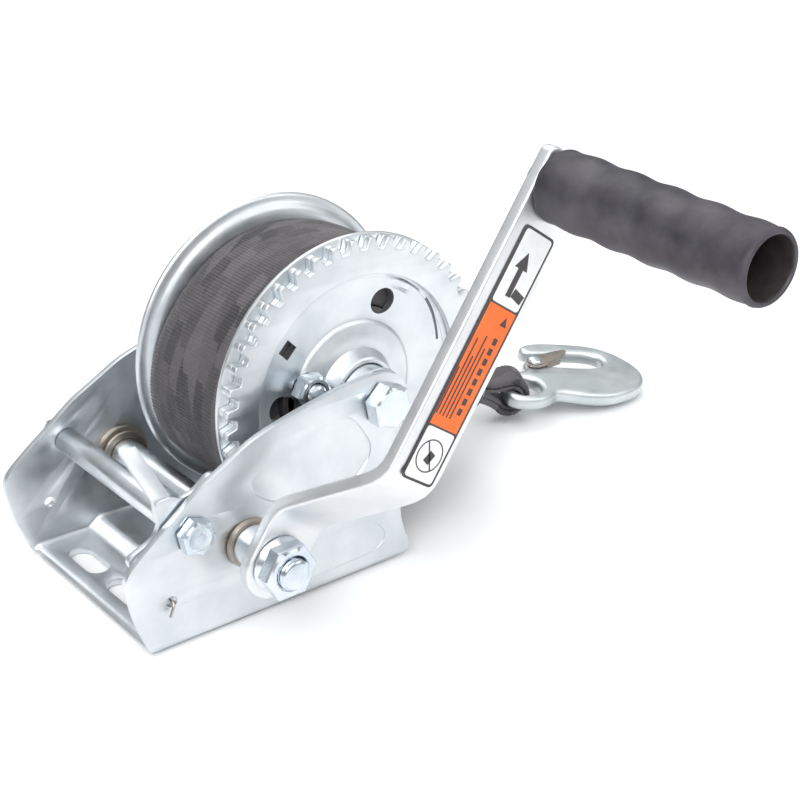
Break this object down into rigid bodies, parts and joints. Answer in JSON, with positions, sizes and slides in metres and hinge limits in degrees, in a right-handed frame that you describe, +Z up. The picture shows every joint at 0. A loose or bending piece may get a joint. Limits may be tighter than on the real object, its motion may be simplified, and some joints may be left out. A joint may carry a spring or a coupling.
{
  "type": "boat trailer winch",
  "caption": "Hand winch with a stamped U frame, geared reel of webbing, spring pawl, joggled crank arm with a turning grip, and a latched strap hook",
  "frame": {"origin": "on the flat underside of the frame's base, between the front mounting slots and the raised deck, midway between the side plates", "axes": "X from the mounting lip towards the strap and hook, Y across the frame from the crank side to the plain side, Z up from the base"},
  "size_m": [0.3098, 0.2576, 0.176],
  "materials": {
    "zinc_plate": "satin bright zinc plating over stamped sheet",
    "arm_plate": "fine grained bright zinc plating",
    "spring_wire": "bright drawn wire",
    "sintered_bronze": "dull brown sintered bronze",
    "webbing": "dark grey ribbed polyester webbing",
    "grip_plastic": "dark grey moulded grip with a soft sheen",
    "hook_casting": "pale blue grey plated casting",
    "latch_sheet": "beige brown plated spring sheet",
    "label_print": "printed film in orange, white and black panels"
  },
  "bodies": {
    "frame": {"frame": "zinc_plate", "shaft_bushing_near": "sintered_bronze", "shaft_bushing_far": "sintered_bronze", "shaft_thrust_washer": "sintered_bronze", "reel_bolt": "zinc_plate", "reel_bolt_nut": "zinc_plate", "reel_spacer_tube": "zinc_plate", "reel_washer_near": "zinc_plate", "reel_washer_far": "zinc_plate", "pawl_bolt": "zinc_plate", "pawl_bolt_nut": "zinc_plate", "pawl_tube": "zinc_plate", "pawl_spring": "spring_wire", "strap_tail": "webbing"},
    "reel": {"gear_plate_outer": "zinc_plate", "gear_plate_inner": "zinc_plate", "reel_flange_near": "zinc_plate", "reel_flange_far": "zinc_plate", "drum_hub": "zinc_plate", "strap_roll": "webbing", "reel_bush_near": "sintered_bronze", "reel_bush_far": "sintered_bronze", "strap_anchor_bolt": "zinc_plate", "strap_anchor_nut": "zinc_plate"},
    "crank": {"drive_shaft": "zinc_plate", "pinion_gear": "zinc_plate", "crank_spacer": "zinc_plate", "shaft_clip": "zinc_plate", "crank_nut": "zinc_plate", "crank_arm": "arm_plate", "warning_label": "label_print", "grip_axle": "zinc_plate"},
    "grip": {"grip": "grip_plastic"},
    "pawl": {"pawl": "zinc_plate"},
    "hook": {"hook": "hook_casting", "latch_rivet": "zinc_plate"},
    "latch": {"latch": "latch_sheet"}
  },
  "joints": [
    {"name": "reel_spin", "type": "hinge", "parent": "frame", "child": "reel", "pos_m": [0.0805, 0, 0.0703], "axis": [0, 1, 0], "continuous": true},
    {"name": "crank_spin", "type": "hinge", "parent": "frame", "child": "crank", "pos_m": [0.0196, 0, 0.0329], "axis": [0, 1, 0], "continuous": true},
    {"name": "grip_spin", "type": "hinge", "parent": "crank", "child": "grip", "pos_m": [0.10805, -0.10455, 0.16275], "axis": [0.0169, 0.9995, 0.0253], "continuous": true},
    {"name": "pawl_pivot", "type": "hinge", "parent": "frame", "child": "pawl", "pos_m": [-0.0028, -0.0425, 0.0441], "axis": [0, -1, 0], "range_deg": [0, 25], "stiffness_Nm_per_rad": 0.08, "springref_deg": -34.38},
    {"name": "hook_swing", "type": "hinge", "parent": "frame", "child": "hook", "pos_m": [0.20671, 0.02263, 0.0133], "axis": [-0.3884, -0.9098, -0.1465], "range_deg": [0, 60]},
    {"name": "latch_pivot", "type": "hinge", "parent": "hook", "child": "latch", "pos_m": [0.23074, 0.03169, 0.01344], "axis": [-0.0643, 0.1854, -0.9806], "range_deg": [0, 22], "stiffness_Nm_per_rad": 0.01, "springref_deg": -45.84}
  ],
  "couplings": [
    {"joint": "crank_spin", "follows": "reel_spin", "ratio": -4}
  ]
}
